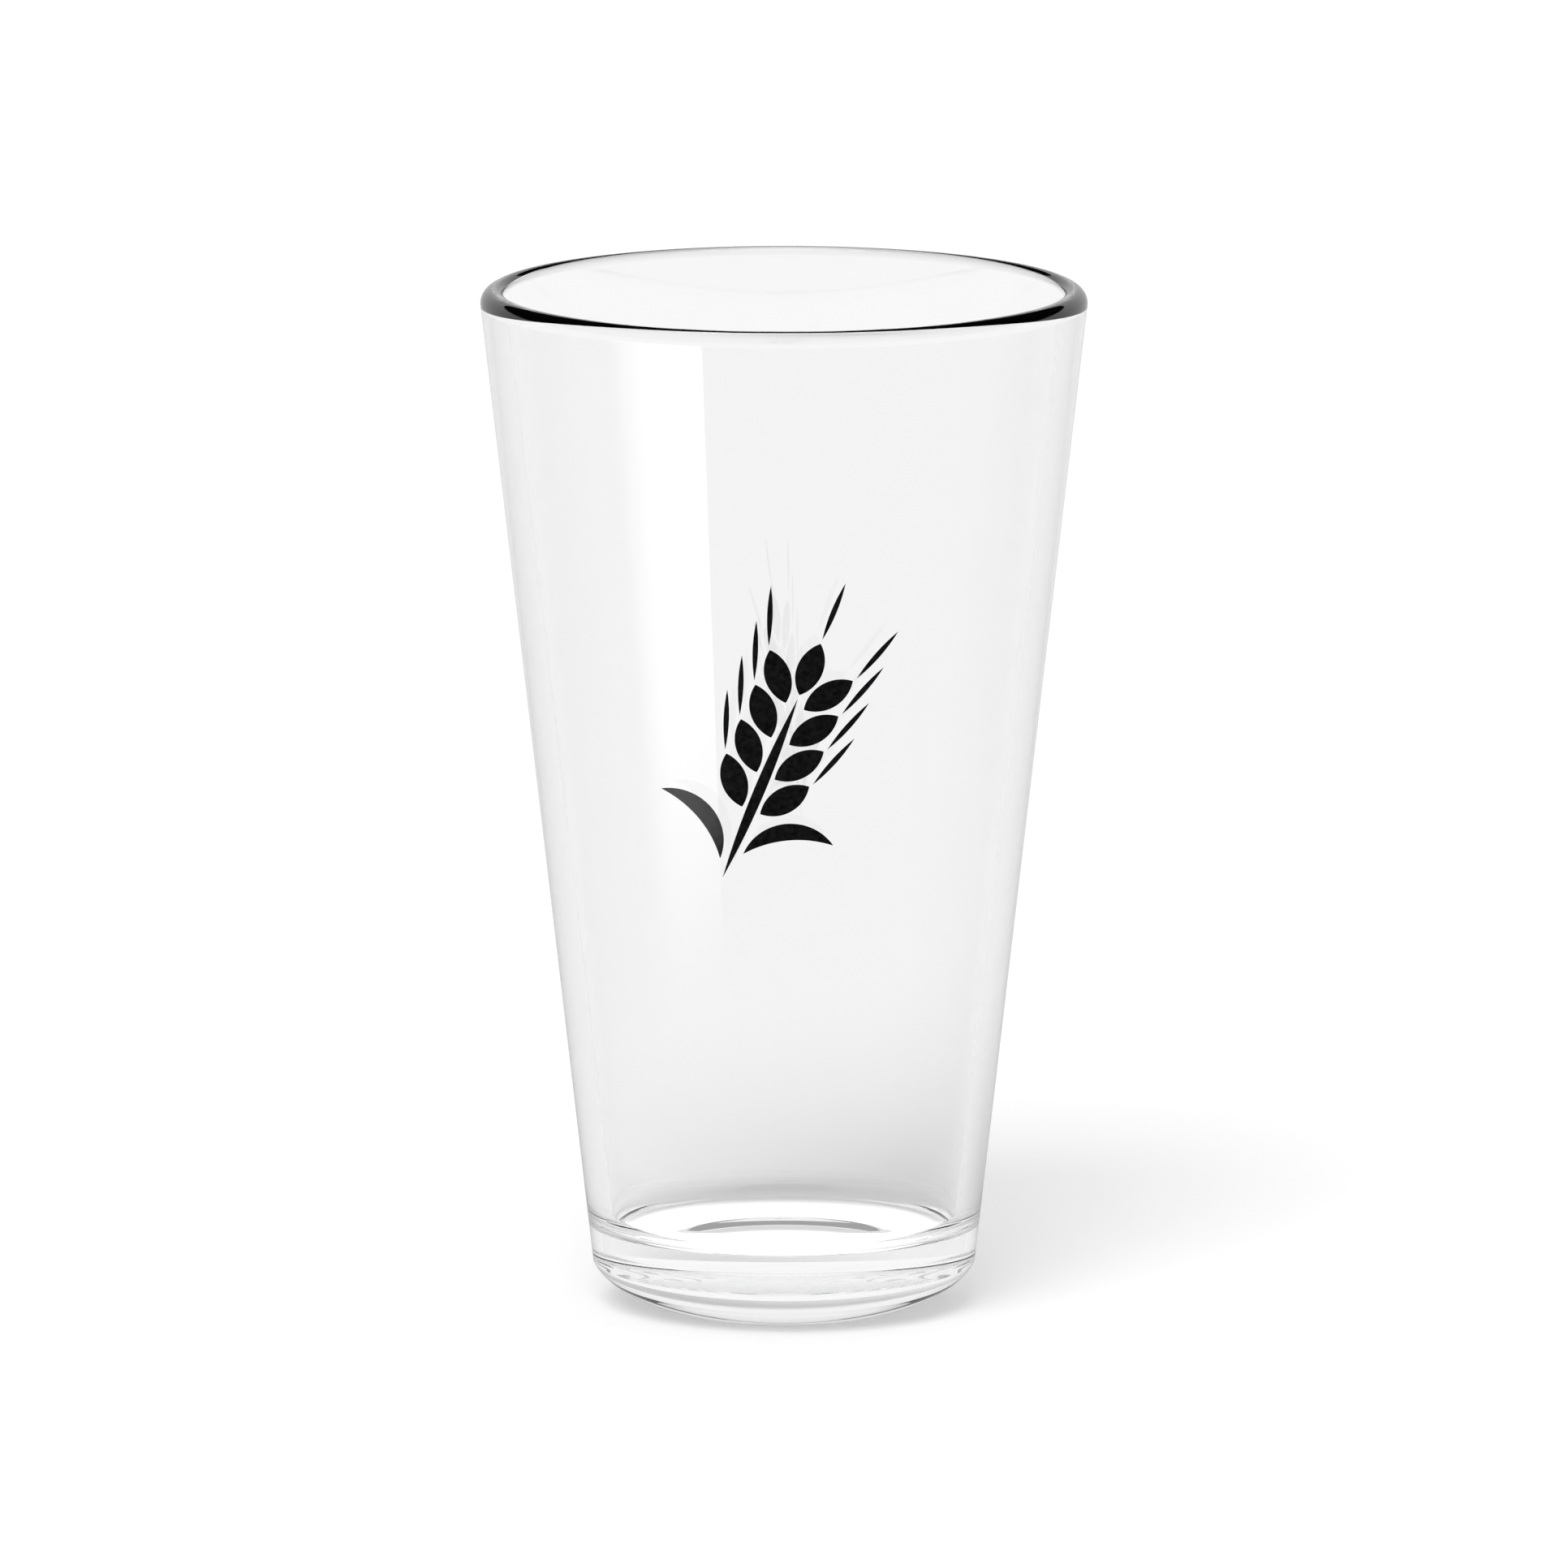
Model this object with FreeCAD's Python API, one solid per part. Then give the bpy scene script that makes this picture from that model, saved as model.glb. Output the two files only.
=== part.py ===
import FreeCAD, Part
import math
import os

# A US 16 fl oz pint glass: a tapered, pressed, one-piece tumbler with a solid base,
# and an ear of barley fired onto its front in black enamel.
# Millimetres, +Z up, front at -Y, origin at the centre of the plane it rests on.

# Outside of the glass
HEIGHT = 150.0
RIM_DIAMETER = 88.9
BASE_DIAMETER = 54.5        # of the outer cone, carried on down to the resting plane
HEEL_HEIGHT = 6.25          # where the cone ends and the rounded heel begins
RESTING_RADIUS = 18.7       # outer edge of the flat ring that it rests on
PUNT_RADIUS = 16.5          # inner edge of that ring
PUNT_DEPTH = 1.2            # rise of the shallow dome under the base

# Inside and rim
WALL = 3.6                  # measured level, the same all the way up
FLOOR_HEIGHT = 11.4
FLOOR_ROUND = 4.0
RIM_OUTER_ROUND = 2.1
RIM_INNER_ROUND = 1.2

# Heel curve: how far its two handles reach, and how steeply it leaves the cone and lands
HEEL_TOP_HANDLE = 2.65
HEEL_TOP_ANGLE = 24.0       # from straight down, turning inwards
HEEL_FOOT_HANDLE = 4.75
HEEL_FOOT_ANGLE = 18.0      # above level, at the resting ring

# Enamel: thickness, and where the ear of barley stands on the front
INK = 0.1
EAR_CENTRE_X = 0.0
EAR_CENTRE_Z = 91.0
EAR_TILT = 22.0             # leans to the right

# The ear itself, along and across its own line, from the foot of the stem
ISLAND_GAP = 0.6            # bare glass between one island of enamel and the next
STEM_LENGTH = 29.0
STEM_HALF_WIDTH = 0.8
GRAIN_ROWS = 4
GRAIN_FIRST = 11.0          # along the stem, to the lowest pair of grains
GRAIN_PITCH = 5.6
GRAIN_OFFSET = 1.4          # from the stem's line
GRAIN_ANGLE = 38.0
GRAIN_LENGTH = 8.2
GRAIN_HALF_WIDTH = 1.9
AWN_ANGLE = 20.0
AWN_LENGTH = 9.0
AWN_HALF_WIDTH = 0.4
LEAF_START = 2.5            # along the stem, to the lower leaf
LEAF_STAGGER = 2.0          # from the lower leaf to the upper one
LEAF_SPREAD = 13.0
LEAF_RISE = 6.0
LEAF_UPPER_BULGE = 4.0
LEAF_LOWER_BULGE = 1.5
EAR_LENGTH = STEM_LENGTH + GRAIN_LENGTH + AWN_LENGTH + 2 * ISLAND_GAP


def outer_radius(z):
    base = BASE_DIAMETER / 2
    return base + (RIM_DIAMETER / 2 - base) * z / HEIGHT


def inner_radius(z):
    return outer_radius(z) - WALL


def profile_point(radius, z):
    return FreeCAD.Vector(radius, 0, z)


def line(start, end):
    return Part.LineSegment(start, end).toShape()


def arc(start, middle, end):
    return Part.Arc(start, middle, end).toShape()


def rounded_corner(before, corner, after, radius):
    """The arc that rounds a corner between two straight edges: its start, middle and end."""
    towards_before = (before - corner).normalize()
    towards_after = (after - corner).normalize()
    half_angle = towards_before.getAngle(towards_after) / 2
    cut = radius / math.tan(half_angle)
    inward = (towards_before + towards_after).normalize()
    centre = corner + inward * (radius / math.sin(half_angle))
    return corner + towards_before * cut, centre - inward * radius, corner + towards_after * cut


def heel_curve(crease, foot):
    """From the end of the cone, round and in to the resting ring."""
    top = math.radians(HEEL_TOP_ANGLE)
    low = math.radians(HEEL_FOOT_ANGLE)
    top_pole = crease + profile_point(-math.sin(top), -math.cos(top)) * HEEL_TOP_HANDLE
    foot_pole = foot + profile_point(math.cos(low), math.sin(low)) * HEEL_FOOT_HANDLE
    curve = Part.BezierCurve()
    curve.setPoles([crease, top_pole, foot_pole, foot])
    return curve.toShape()


def punt_arc(edge, top):
    """A circular arc centred on the axis, from the resting ring up to the punt's middle."""
    sphere_radius = (edge.x ** 2 + top.z ** 2) / (2 * top.z)
    half_turn = math.asin(edge.x / sphere_radius) / 2
    middle = profile_point(sphere_radius * math.sin(half_turn), 0)
    middle.z = top.z - sphere_radius * (1 - math.cos(half_turn))
    return arc(edge, middle, top)


def revolve(edges):
    face = Part.Face(Part.Wire(edges))
    return face.revolve(FreeCAD.Vector(0, 0, 0), FreeCAD.Vector(0, 0, 1), 360)


def make_glass_body():
    crease = profile_point(outer_radius(HEEL_HEIGHT), HEEL_HEIGHT)
    foot = profile_point(RESTING_RADIUS, 0)
    punt_edge = profile_point(PUNT_RADIUS, 0)
    punt_top = profile_point(0, PUNT_DEPTH)
    floor_middle = profile_point(0, FLOOR_HEIGHT)
    floor_corner = profile_point(inner_radius(FLOOR_HEIGHT), FLOOR_HEIGHT)
    inner_rim = profile_point(inner_radius(HEIGHT), HEIGHT)
    outer_rim = profile_point(outer_radius(HEIGHT), HEIGHT)

    floor_arc = rounded_corner(floor_middle, floor_corner, inner_rim, FLOOR_ROUND)
    inner_arc = rounded_corner(floor_corner, inner_rim, outer_rim, RIM_INNER_ROUND)
    outer_arc = rounded_corner(inner_rim, outer_rim, crease, RIM_OUTER_ROUND)

    return revolve([
        heel_curve(crease, foot),
        line(foot, punt_edge),
        punt_arc(punt_edge, punt_top),
        line(punt_top, floor_middle),
        line(floor_middle, floor_arc[0]),
        arc(*floor_arc),
        line(floor_arc[2], inner_arc[0]),
        arc(*inner_arc),
        line(inner_arc[2], outer_arc[0]),
        arc(*outer_arc),
        line(outer_arc[2], crease),
    ])


def make_ink_skin():
    """A conical skin that lies on the outside of the wall, one ink thickness deep."""
    low = HEEL_HEIGHT
    high = HEIGHT - 2 * RIM_OUTER_ROUND
    corners = [
        profile_point(outer_radius(low), low),
        profile_point(outer_radius(low) + INK, low),
        profile_point(outer_radius(high) + INK, high),
        profile_point(outer_radius(high), high),
    ]
    return revolve([line(corners[i - 1], corners[i]) for i in range(4)])


def ear_point(across, along):
    """A point of the ear of barley, tilted and set in its place on the front."""
    tilt = math.radians(EAR_TILT)
    rise = along - EAR_LENGTH / 2
    x = EAR_CENTRE_X + across * math.cos(tilt) + rise * math.sin(tilt)
    z = EAR_CENTRE_Z - across * math.sin(tilt) + rise * math.cos(tilt)
    return FreeCAD.Vector(x, 0, z)


def blade(skin, base, tip, left_bulge, right_bulge):
    """One island of enamel: a pointed blade between two arcs, laid on the wall.
    A bulge is how far its side stands off the line from base to tip."""
    start = ear_point(*base)
    end = ear_point(*tip)
    middle = (start + end) / 2
    run = (end - start).normalize()
    left = FreeCAD.Vector(-run.z, 0, run.x)
    outline = Part.Wire([
        arc(start, middle + left * left_bulge, end),
        arc(end, middle - left * right_bulge, start),
    ])
    reach = FreeCAD.Vector(0, -RIM_DIAMETER, 0)
    return Part.Face(outline).extrude(reach).common(skin).Solids[0]


def make_print_stem(skin):
    return blade(skin, (0, 0), (0, STEM_LENGTH), STEM_HALF_WIDTH, STEM_HALF_WIDTH)


def leaning(start, angle, length):
    """The point that lies a length away from a start, at an angle from the ear's line."""
    turn = math.radians(angle)
    return start[0] + length * math.sin(turn), start[1] + length * math.cos(turn)


def grain_lines():
    """Base and tip of each grain: pairs up the stem, and one on top."""
    lines = []
    for row in range(GRAIN_ROWS):
        for side in (-1, 1):
            base = (side * GRAIN_OFFSET, GRAIN_FIRST + GRAIN_PITCH * row)
            lines.append((base, leaning(base, side * GRAIN_ANGLE, GRAIN_LENGTH), side))
    top = (0, STEM_LENGTH + ISLAND_GAP)
    lines.append((top, leaning(top, 0, GRAIN_LENGTH), 0))
    return lines


def make_print_grains(skin):
    return Part.Compound([
        blade(skin, base, tip, GRAIN_HALF_WIDTH, GRAIN_HALF_WIDTH)
        for base, tip, _ in grain_lines()
    ])


def make_print_awns(skin):
    awns = []
    for _, grain_tip, side in grain_lines():
        base = leaning(grain_tip, side * GRAIN_ANGLE, ISLAND_GAP)
        tip = leaning(base, side * AWN_ANGLE, AWN_LENGTH)
        awns.append(blade(skin, base, tip, AWN_HALF_WIDTH, AWN_HALF_WIDTH))
    return Part.Compound(awns)


def make_print_leaves(skin):
    """Two leaves that arch up and out, the right one a little higher on the stem."""
    start = STEM_HALF_WIDTH + ISLAND_GAP
    low = LEAF_START
    high = LEAF_START + LEAF_STAGGER
    left_base, left_tip = (-start, low), (-LEAF_SPREAD, low + LEAF_RISE)
    right_base, right_tip = (start, high), (LEAF_SPREAD, high + LEAF_RISE)
    return Part.Compound([
        blade(skin, left_base, left_tip, -LEAF_LOWER_BULGE, LEAF_UPPER_BULGE),
        blade(skin, right_base, right_tip, LEAF_UPPER_BULGE, -LEAF_LOWER_BULGE),
    ])


os.makedirs("parts", exist_ok=True)
ink_skin = make_ink_skin()
make_glass_body().exportStep("parts/glass_body.step")
make_print_stem(ink_skin).exportStep("parts/print_stem.step")
make_print_grains(ink_skin).exportStep("parts/print_grains.step")
make_print_awns(ink_skin).exportStep("parts/print_awns.step")
make_print_leaves(ink_skin).exportStep("parts/print_leaves.step")
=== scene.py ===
import math

import bpy
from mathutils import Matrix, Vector


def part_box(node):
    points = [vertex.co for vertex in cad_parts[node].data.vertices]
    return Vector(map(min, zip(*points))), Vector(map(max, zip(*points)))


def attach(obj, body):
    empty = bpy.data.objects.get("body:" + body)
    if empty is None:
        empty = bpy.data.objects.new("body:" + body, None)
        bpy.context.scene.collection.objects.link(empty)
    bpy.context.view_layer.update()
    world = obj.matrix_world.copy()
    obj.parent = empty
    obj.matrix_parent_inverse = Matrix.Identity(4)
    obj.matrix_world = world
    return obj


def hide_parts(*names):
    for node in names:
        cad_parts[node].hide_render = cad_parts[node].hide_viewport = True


# The looks of a pint glass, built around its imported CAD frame. Metres, +Z up, front at -Y.

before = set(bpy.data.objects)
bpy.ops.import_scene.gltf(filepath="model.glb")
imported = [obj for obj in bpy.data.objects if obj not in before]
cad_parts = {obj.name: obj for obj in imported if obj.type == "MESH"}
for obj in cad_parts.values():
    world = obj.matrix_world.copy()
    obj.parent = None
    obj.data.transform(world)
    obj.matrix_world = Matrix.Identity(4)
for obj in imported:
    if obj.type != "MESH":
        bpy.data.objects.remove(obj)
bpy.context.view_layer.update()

# Outline of the glass, as in the CAD
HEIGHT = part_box("glass_body")[1].z
RIM_RADIUS = 0.04445
BASE_RADIUS = 0.02725
HEEL_HEIGHT = 0.00625
RESTING_RADIUS = 0.0187
PUNT_RADIUS = 0.0165
PUNT_DEPTH = 0.0012
WALL = 0.0036
FLOOR_HEIGHT = 0.0114
FLOOR_ROUND = 0.004
RIM_OUTER_ROUND = 0.0021
RIM_INNER_ROUND = 0.0012
HEEL_TOP_HANDLE = 0.00265
HEEL_TOP_ANGLE = math.radians(24.0)
HEEL_FOOT_HANDLE = 0.00475
HEEL_FOOT_ANGLE = math.radians(18.0)
CREASE_ROUND = 0.0004

# How finely the glass is lathed: round its axis, and along each stretch of its outline
SEGMENTS = 384
PUNT_STEPS = 16
RING_STEPS = 2
HEEL_STEPS = 28
CREASE_STEPS = 6
WALL_STEPS = 24
OUTER_RIM_STEPS = 12
INNER_RIM_STEPS = 10
FLOOR_ROUND_STEPS = 16
FLOOR_STEPS = 8
GUARD = 0.00015             # from the end of a straight stretch to its guard point
ON_AXIS = 1e-9              # a radius below this is the axis itself

# Studio floor: its glow as the camera sees it, as the glass shows it, and under the foot
FLOOR_REACH = 6.0
FLOOR_GLOW = 0.20
FLOOR_GLOW_THROUGH_GLASS = 0.04
FOOT_GLOW = 1.0
FOOT_GLOW_RADIUS = 0.026
FOOT_GLOW_END = 0.031

# Studio wall and ceiling: brightness, and the directions where one gives way to another
WALL_SEEN = 1.0             # and the ceiling too, by the camera and through the glass
WALL_MIRRORED = 0.7
CEILING_MIRRORED = 0.01
BEHIND_MIRRORED = 0.6       # share of the mirrored wall that is left low down, behind the glass
BEHIND_FROM = 0.3
BEHIND_TO = 0.6
BACKDROP_TOP = math.radians(21.5)
BACKDROP_SOFTNESS = 0.008
MIRRORED_LOW = math.radians(-12.0)
MIRRORED_LOW_SOFTNESS = 0.03
SKY_ON_FLOOR = 0.68

# Key light: azimuth and elevation in degrees, as bearing() takes them
SUN_AZIMUTH = -162
SUN_ELEVATION = 50
SUN_STRENGTH = 1.3
SUN_ANGLE = math.radians(36.0)

# Strip light, which only the glass and the enamel mirror; its fades are shares of its own size
STRIP_AZIMUTH = -132
STRIP_DISTANCE = 0.2
STRIP_RADIANCE = 2.5
STRIP_WIDTH = 0.14
STRIP_HEIGHT = 0.16
STRIP_CENTRE = 0.05
STRIP_FOOT_FADE = 0.4
STRIP_SIDE_FADE = 0.5

# Camera
CAMERA_DISTANCE = 3.0
CAMERA_ELEVATION = math.radians(9.9)
CAMERA_LENS = 471.6
LOOK_AT = Vector((0.0, 0.0, 0.0768))
SENSOR_WIDTH = 36.0
CAMERA_REACH = 100.0
LIGHT_BOUNCES = 32          # light caught inside the glass for longer than this is lost


def outer_radius(z):
    return BASE_RADIUS + (RIM_RADIUS - BASE_RADIUS) * z / HEIGHT


def inner_radius(z):
    return outer_radius(z) - WALL


def rounded_corner(before, corner, after, radius, steps):
    """Points of the arc that rounds a corner of the outline, each (radius, height)."""
    corner = Vector(corner)
    to_before = (Vector(before) - corner).normalized()
    to_after = (Vector(after) - corner).normalized()
    half_angle = to_before.angle(to_after) / 2
    centre = corner + (to_before + to_after).normalized() * (radius / math.sin(half_angle))
    start = corner + to_before * (radius / math.tan(half_angle)) - centre
    end = corner + to_after * (radius / math.tan(half_angle)) - centre
    turn = start.angle_signed(end)
    points = []
    for step in range(steps + 1):
        angle = -turn * step / steps
        spin = Vector((
            start.x * math.cos(angle) - start.y * math.sin(angle),
            start.x * math.sin(angle) + start.y * math.cos(angle),
        ))
        points.append(tuple(centre + spin))
    return points


def straight(start, end, steps):
    """Points along a straight stretch, without its ends, and close to each end a guard point,
    so that the smooth shading of a curve stops where the curve does."""
    start = Vector(start)
    end = Vector(end)
    guard = GUARD / (end - start).length
    places = [guard] + [step / steps for step in range(1, steps)] + [1 - guard]
    return [tuple(start.lerp(end, place)) for place in places]


def heel_points(crease, foot, steps):
    """The heel's curve, from the crease down and in to the resting ring."""
    p0 = Vector(crease)
    p1 = p0 + Vector((-math.sin(HEEL_TOP_ANGLE), -math.cos(HEEL_TOP_ANGLE))) * HEEL_TOP_HANDLE
    p3 = Vector(foot)
    p2 = p3 + Vector((math.cos(HEEL_FOOT_ANGLE), math.sin(HEEL_FOOT_ANGLE))) * HEEL_FOOT_HANDLE
    points = []
    for step in range(steps + 1):
        t = step / steps
        s = 1 - t
        points.append(tuple(p0 * s ** 3 + p1 * 3 * s * s * t + p2 * 3 * s * t * t + p3 * t ** 3))
    return points


def punt_points(steps):
    """The shallow dome under the base, from its middle out to the resting ring."""
    sphere = (PUNT_RADIUS ** 2 + PUNT_DEPTH ** 2) / (2 * PUNT_DEPTH)
    half_turn = math.asin(PUNT_RADIUS / sphere)
    points = []
    for step in range(steps + 1):
        turn = half_turn * step / steps
        points.append((sphere * math.sin(turn), PUNT_DEPTH - sphere * (1 - math.cos(turn))))
    return points


def glass_outline():
    """The half section, from the punt's middle round the outside and in to the floor's middle."""
    crease = (outer_radius(HEEL_HEIGHT), HEEL_HEIGHT)
    outer_rim = (outer_radius(HEIGHT), HEIGHT)
    inner_rim = (inner_radius(HEIGHT), HEIGHT)
    floor_corner = (inner_radius(FLOOR_HEIGHT), FLOOR_HEIGHT)
    floor_middle = (0.0, FLOOR_HEIGHT)
    foot = (RESTING_RADIUS, 0.0)

    heel = heel_points(crease, foot, HEEL_STEPS)[::-1]
    crease_arc = rounded_corner(heel[-2], crease, outer_rim, CREASE_ROUND, CREASE_STEPS)
    outline = punt_points(PUNT_STEPS)
    outline += straight(outline[-1], foot, RING_STEPS)
    outline += heel[:-1]
    outline += crease_arc
    outer_arc = rounded_corner(crease, outer_rim, inner_rim, RIM_OUTER_ROUND, OUTER_RIM_STEPS)
    inner_arc = rounded_corner(outer_rim, inner_rim, floor_corner, RIM_INNER_ROUND, INNER_RIM_STEPS)
    floor_arc = rounded_corner(inner_rim, floor_corner, floor_middle, FLOOR_ROUND, FLOOR_ROUND_STEPS)
    outline += straight(crease_arc[-1], outer_arc[0], WALL_STEPS)
    outline += outer_arc
    outline += inner_arc
    outline += straight(inner_arc[-1], floor_arc[0], WALL_STEPS)
    outline += floor_arc
    outline += straight(floor_arc[-1], floor_middle, FLOOR_STEPS)
    outline.append(floor_middle)
    return outline


def lathe(name, outline):
    """A closed solid of revolution from a half section that starts and ends on the axis."""
    vertices = []
    rings = []
    for radius, z in outline:
        if radius < ON_AXIS:
            rings.append([len(vertices)] * SEGMENTS)
            vertices.append((0.0, 0.0, z))
            continue
        rings.append([len(vertices) + i for i in range(SEGMENTS)])
        for i in range(SEGMENTS):
            turn = 2 * math.pi * i / SEGMENTS
            vertices.append((radius * math.cos(turn), radius * math.sin(turn), z))
    faces = []
    for low, high in zip(rings, rings[1:]):
        for i in range(SEGMENTS):
            j = (i + 1) % SEGMENTS
            corners = [low[i], low[j], high[j], high[i]]
            faces.append(list(dict.fromkeys(corners)))
    mesh = bpy.data.meshes.new(name)
    mesh.from_pydata(vertices, [], faces)
    mesh.validate()
    mesh.shade_smooth()
    piece = bpy.data.objects.new(name, mesh)
    bpy.context.scene.collection.objects.link(piece)
    return piece


def noise(tree, scale, detail):
    """Three-dimensional noise fixed to the piece: a node's value output."""
    place = tree.nodes.new("ShaderNodeTexCoord")
    node = tree.nodes.new("ShaderNodeTexNoise")
    node.inputs["Scale"].default_value = scale
    node.inputs["Detail"].default_value = detail
    tree.links.new(place.outputs["Object"], node.inputs["Vector"])
    return node.outputs["Fac"]


def spread(tree, value, low, high):
    """The noise stretched to a range from low to high."""
    node = tree.nodes.new("ShaderNodeMapRange")
    node.inputs["From Min"].default_value = 0.3
    node.inputs["From Max"].default_value = 0.7
    node.inputs["To Min"].default_value = low
    node.inputs["To Max"].default_value = high
    tree.links.new(value, node.inputs["Value"])
    return node.outputs["Result"]


def bump(tree, shader, height, strength, distance):
    node = tree.nodes.new("ShaderNodeBump")
    node.inputs["Strength"].default_value = strength
    node.inputs["Distance"].default_value = distance
    tree.links.new(height, node.inputs["Height"])
    tree.links.new(node.outputs["Normal"], shader.inputs["Normal"])


def glass_material():
    """Pressed soda-lime glass: a faint draw in its surface, a trace of wear, a trace of grey."""
    material = bpy.data.materials.new("clear_glass")
    material.use_nodes = True
    tree = material.node_tree
    shader = tree.nodes["Principled BSDF"]
    shader.inputs["Base Color"].default_value = (1, 1, 1, 1)
    shader.inputs["Transmission Weight"].default_value = 1.0
    shader.inputs["IOR"].default_value = 1.52
    tree.links.new(spread(tree, noise(tree, 400, 3), 0.0, 0.006), shader.inputs["Roughness"])
    bump(tree, shader, noise(tree, 45, 1), 0.2, 0.000005)
    body = tree.nodes.new("ShaderNodeVolumeAbsorption")
    body.inputs["Color"].default_value = (0.22, 0.27, 0.25, 1)
    body.inputs["Density"].default_value = 0.25
    tree.links.new(body.outputs["Volume"], tree.nodes["Material Output"].inputs["Volume"])
    return material


def ink_material():
    """Fired black enamel: glossy, with the slight orange peel and dust of a screen print."""
    material = bpy.data.materials.new("black_enamel")
    material.use_nodes = True
    tree = material.node_tree
    shader = tree.nodes["Principled BSDF"]
    tint = tree.nodes.new("ShaderNodeMix")
    tint.data_type = "RGBA"
    tint.inputs["A"].default_value = (0.002, 0.002, 0.002, 1)
    tint.inputs["B"].default_value = (0.010, 0.010, 0.011, 1)
    tree.links.new(spread(tree, noise(tree, 1500, 4), 0.0, 1.0), tint.inputs["Factor"])
    tree.links.new(tint.outputs["Result"], shader.inputs["Base Color"])
    tree.links.new(spread(tree, noise(tree, 300, 3), 0.08, 0.16), shader.inputs["Roughness"])
    bump(tree, shader, noise(tree, 900, 2), 0.25, 0.00002)
    return material


def make_glass():
    piece = lathe("glass_body_polished", glass_outline())
    piece.data.materials.append(glass_material())
    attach(piece, "root")
    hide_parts("glass_body")


def finish_ink():
    ink = ink_material()
    for name in ("print_stem", "print_grains", "print_awns", "print_leaves"):
        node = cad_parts[name]
        node.data.materials.clear()
        node.data.materials.append(ink)


def smooth_step(tree, value, start, end, low, high):
    """A node that eases from low, at start, to high, at end."""
    node = tree.nodes.new("ShaderNodeMapRange")
    node.interpolation_type = "SMOOTHSTEP"
    node.inputs["From Min"].default_value = start
    node.inputs["From Max"].default_value = end
    node.inputs["To Min"].default_value = low
    node.inputs["To Max"].default_value = high
    tree.links.new(value, node.inputs["Value"])
    return node.outputs["Result"]


def floor_material():
    """A lit white table top. Only as seen through the glass does it glow under the foot."""
    material = bpy.data.materials.new("studio_floor")
    material.use_nodes = True
    tree = material.node_tree
    shader = tree.nodes["Principled BSDF"]
    shader.inputs["Base Color"].default_value = (0.9, 0.9, 0.9, 1)
    shader.inputs["Roughness"].default_value = 1.0
    shader.inputs["Specular IOR Level"].default_value = 0.0
    shader.inputs["Emission Color"].default_value = (1, 1, 1, 1)
    place = tree.nodes.new("ShaderNodeTexCoord")
    reach = tree.nodes.new("ShaderNodeVectorMath")
    reach.operation = "LENGTH"
    tree.links.new(place.outputs["Object"], reach.inputs[0])
    path = tree.nodes.new("ShaderNodeLightPath")
    foot = smooth_step(
        tree, reach.outputs["Value"], FOOT_GLOW_RADIUS, FOOT_GLOW_END, FOOT_GLOW, FLOOR_GLOW_THROUGH_GLASS
    )
    glow = choose(tree, path.outputs["Is Transmission Ray"], foot, FLOOR_GLOW)
    tree.links.new(glow, shader.inputs["Emission Strength"])
    return material


def make_floor():
    mesh = bpy.data.meshes.new("studio_floor")
    corners = [(x * FLOOR_REACH, y * FLOOR_REACH, 0) for x, y in ((-1, -1), (1, -1), (1, 1), (-1, 1))]
    mesh.from_pydata(corners, [], [(0, 1, 2, 3)])
    mesh.materials.append(floor_material())
    floor = bpy.data.objects.new("studio_floor", mesh)
    floor.visible_glossy = False
    bpy.context.scene.collection.objects.link(floor)


def combine(tree, operation, first, second):
    node = tree.nodes.new("ShaderNodeMath")
    node.operation = operation
    tree.links.new(first, node.inputs[0])
    tree.links.new(second, node.inputs[1])
    return node.outputs["Value"]


def choose(tree, chooser, value, otherwise):
    """A value where the chooser is 1, and otherwise another; either may be a number."""
    node = tree.nodes.new("ShaderNodeMix")
    tree.links.new(chooser, node.inputs["Factor"])
    for socket, source in ((node.inputs["A"], otherwise), (node.inputs["B"], value)):
        if isinstance(source, float):
            socket.default_value = source
        else:
            tree.links.new(source, socket)
    return node.outputs["Result"]


def make_world():
    """A white wall all round up to the backdrop's top, below a ceiling that the glass mirrors
    as dark and lets through as light. Low down, only what lies behind the glass is mirrored.
    Each kind of ray has its own brightness, so this isn't a room that could be built."""
    world = bpy.data.worlds.new("studio")
    world.use_nodes = True
    bpy.context.scene.world = world
    tree = world.node_tree
    background = tree.nodes["Background"]
    place = tree.nodes.new("ShaderNodeTexCoord")
    split = tree.nodes.new("ShaderNodeSeparateXYZ")
    tree.links.new(place.outputs["Generated"], split.inputs[0])
    top = math.sin(BACKDROP_TOP)
    low = math.sin(MIRRORED_LOW)
    height = split.outputs["Z"]
    wall = smooth_step(
        tree, height, top - BACKDROP_SOFTNESS, top + BACKDROP_SOFTNESS, WALL_MIRRORED, CEILING_MIRRORED
    )
    above = smooth_step(
        tree, height, low - MIRRORED_LOW_SOFTNESS, low + MIRRORED_LOW_SOFTNESS, 0.0, 1.0
    )
    behind = smooth_step(tree, split.outputs["Y"], BEHIND_FROM, BEHIND_TO, 0.0, BEHIND_MIRRORED)
    mirrored = combine(tree, "MULTIPLY", wall, combine(tree, "MAXIMUM", above, behind))
    path = tree.nodes.new("ShaderNodeLightPath")
    strength = choose(tree, path.outputs["Is Glossy Ray"], mirrored, WALL_SEEN)
    strength = choose(tree, path.outputs["Is Transmission Ray"], WALL_SEEN, strength)
    strength = choose(tree, path.outputs["Is Diffuse Ray"], SKY_ON_FLOOR, strength)
    strength = choose(tree, path.outputs["Is Camera Ray"], WALL_SEEN, strength)
    tree.links.new(strength, background.inputs["Strength"])
    background.inputs["Color"].default_value = (1, 1, 1, 1)


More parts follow.
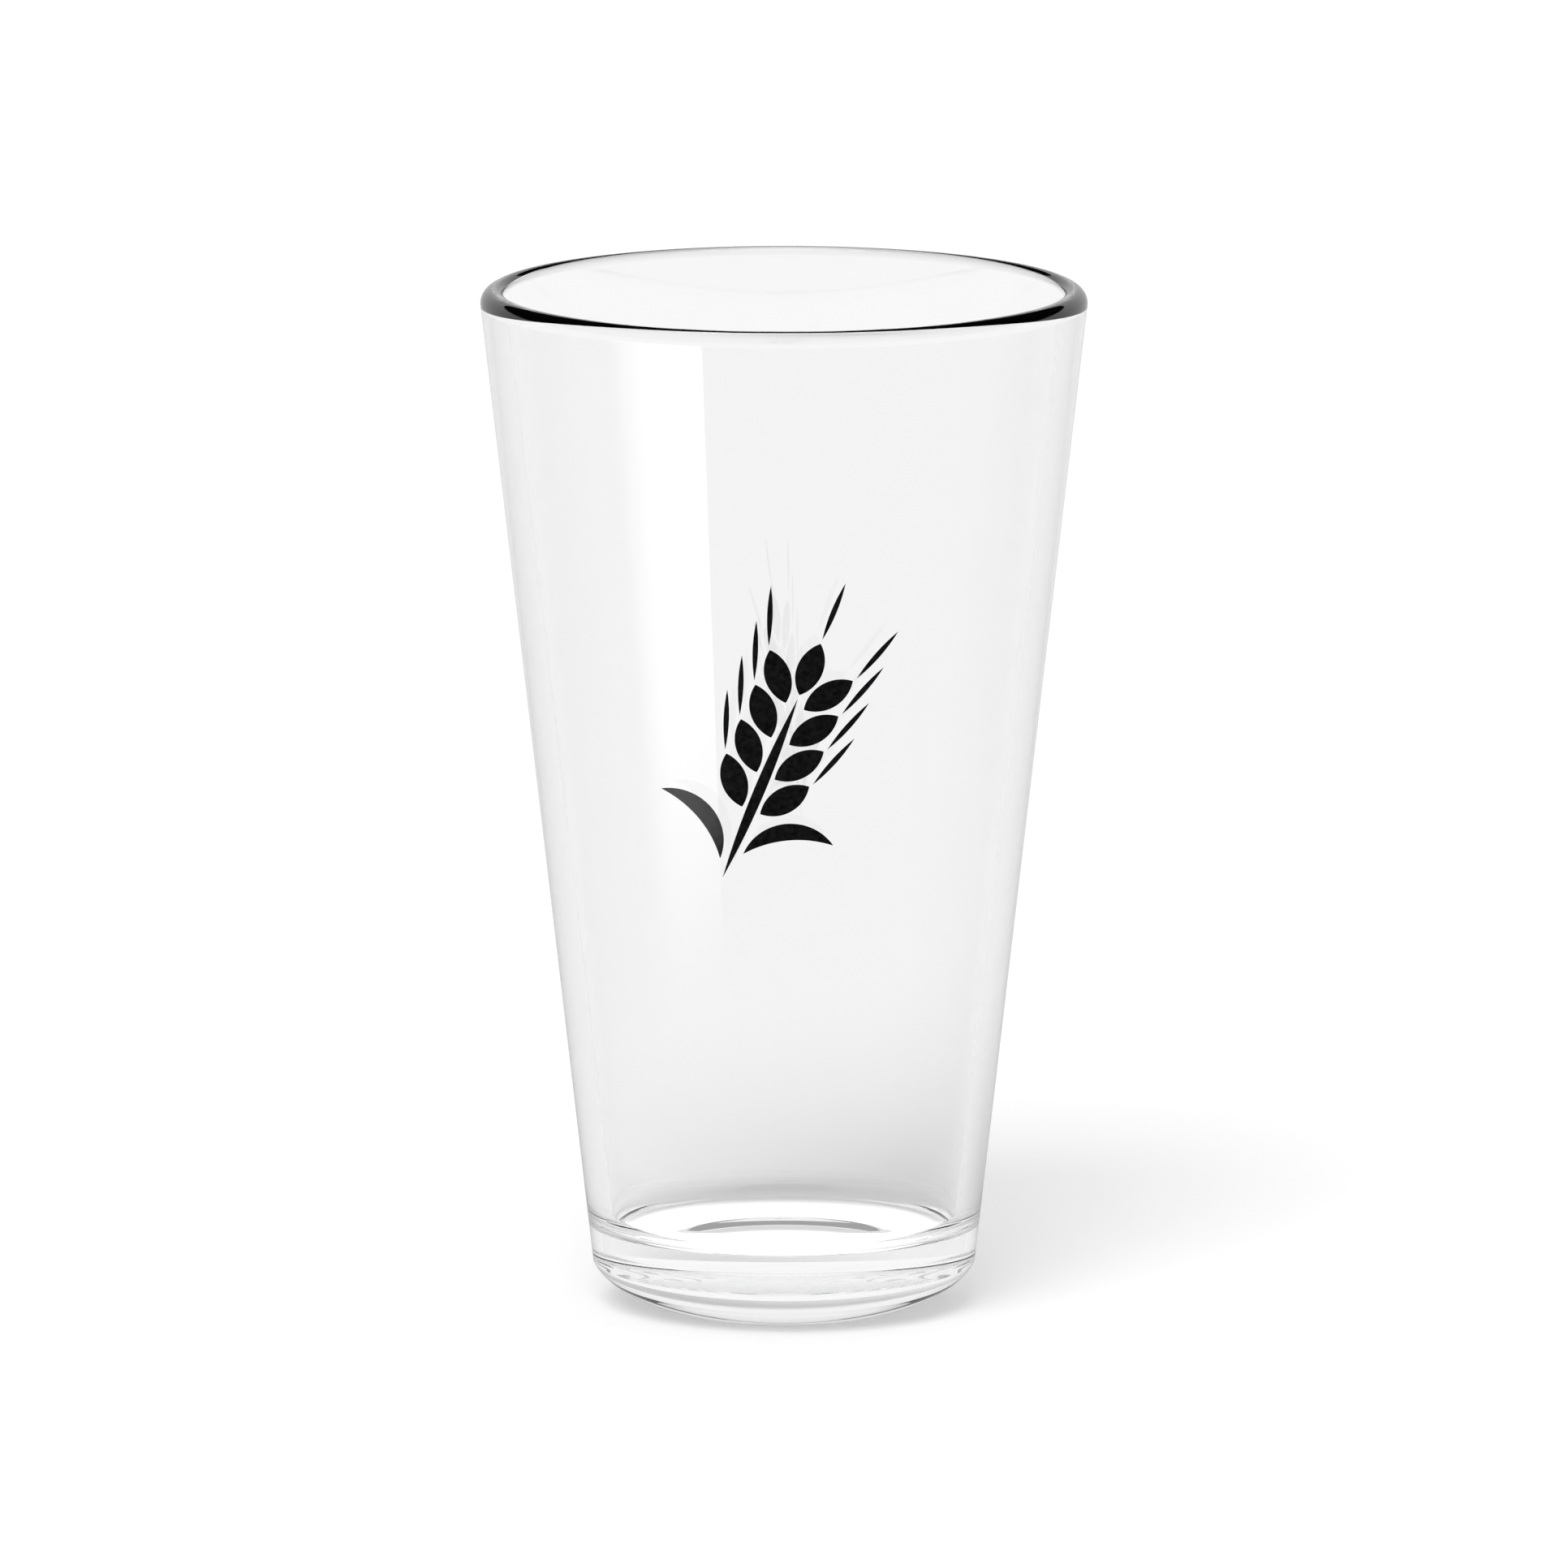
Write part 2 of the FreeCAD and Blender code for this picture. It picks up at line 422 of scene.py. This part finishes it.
def area_light(name, width, height, place, aim, radiance):
    data = bpy.data.lights.new(name, "AREA")
    data.shape = "RECTANGLE"
    data.size = width
    data.size_y = height
    data.energy = radiance * math.pi * width * height
    light = bpy.data.objects.new(name, data)
    light.location = place
    light.rotation_euler = (Vector(aim) - Vector(place)).to_track_quat("-Z", "Y").to_euler()
    light.visible_camera = False
    bpy.context.scene.collection.objects.link(light)
    return light


def bearing(azimuth, elevation, distance):
    """The point in a direction from the foot of the glass: 0 is straight behind it, 90 to its right."""
    turn = math.radians(azimuth)
    rise = math.radians(elevation)
    flat = distance * math.cos(rise)
    return Vector((flat * math.sin(turn), flat * math.cos(turn), distance * math.sin(rise)))


def fade_strip(light):
    """Softens a lamp towards its far side and its foot, across and up its own face."""
    light.data.use_nodes = True
    tree = light.data.node_tree
    place = tree.nodes.new("ShaderNodeNewGeometry")
    split = tree.nodes.new("ShaderNodeSeparateXYZ")
    tree.links.new(place.outputs["Parametric"], split.inputs[0])
    across = smooth_step(tree, split.outputs["X"], 0.0, STRIP_SIDE_FADE, 0.0, 1.0)
    up = smooth_step(tree, split.outputs["Y"], 0.0, STRIP_FOOT_FADE, 0.0, 1.0)
    tree.links.new(combine(tree, "MULTIPLY", across, up), tree.nodes["Emission"].inputs["Strength"])


def make_lights():
    sun = bpy.data.objects.new("key", bpy.data.lights.new("key", "SUN"))
    sun.data.energy = SUN_STRENGTH
    sun.data.angle = SUN_ANGLE
    sun.rotation_euler = (-bearing(SUN_AZIMUTH, SUN_ELEVATION, 1)).to_track_quat("-Z", "Y").to_euler()
    sun.visible_glossy = False
    sun.visible_transmission = False
    bpy.context.scene.collection.objects.link(sun)
    strip_aim = Vector((0, 0, STRIP_CENTRE))
    strip_place = bearing(STRIP_AZIMUTH, 0, STRIP_DISTANCE) + strip_aim
    strip = area_light("strip", STRIP_WIDTH, STRIP_HEIGHT, strip_place, strip_aim, STRIP_RADIANCE)
    strip.visible_transmission = False
    strip.visible_diffuse = False
    fade_strip(strip)


def make_camera():
    camera = bpy.data.objects.new("camera", bpy.data.cameras.new("camera"))
    camera.data.lens = CAMERA_LENS
    camera.data.sensor_width = SENSOR_WIDTH
    camera.data.clip_end = CAMERA_REACH
    offset = Vector((0.0, -math.cos(CAMERA_ELEVATION), math.sin(CAMERA_ELEVATION))) * CAMERA_DISTANCE
    camera.location = LOOK_AT + offset
    camera.rotation_euler = (-offset).to_track_quat("-Z", "Y").to_euler()
    bpy.context.scene.collection.objects.link(camera)
    bpy.context.scene.camera = camera


make_camera()
make_world()
make_floor()
make_lights()
make_glass()
finish_ink()
bpy.context.scene.view_settings.view_transform = "Standard"
bpy.context.scene.cycles.max_bounces = LIGHT_BOUNCES
bpy.context.scene.cycles.glossy_bounces = LIGHT_BOUNCES
bpy.context.scene.cycles.transmission_bounces = LIGHT_BOUNCES
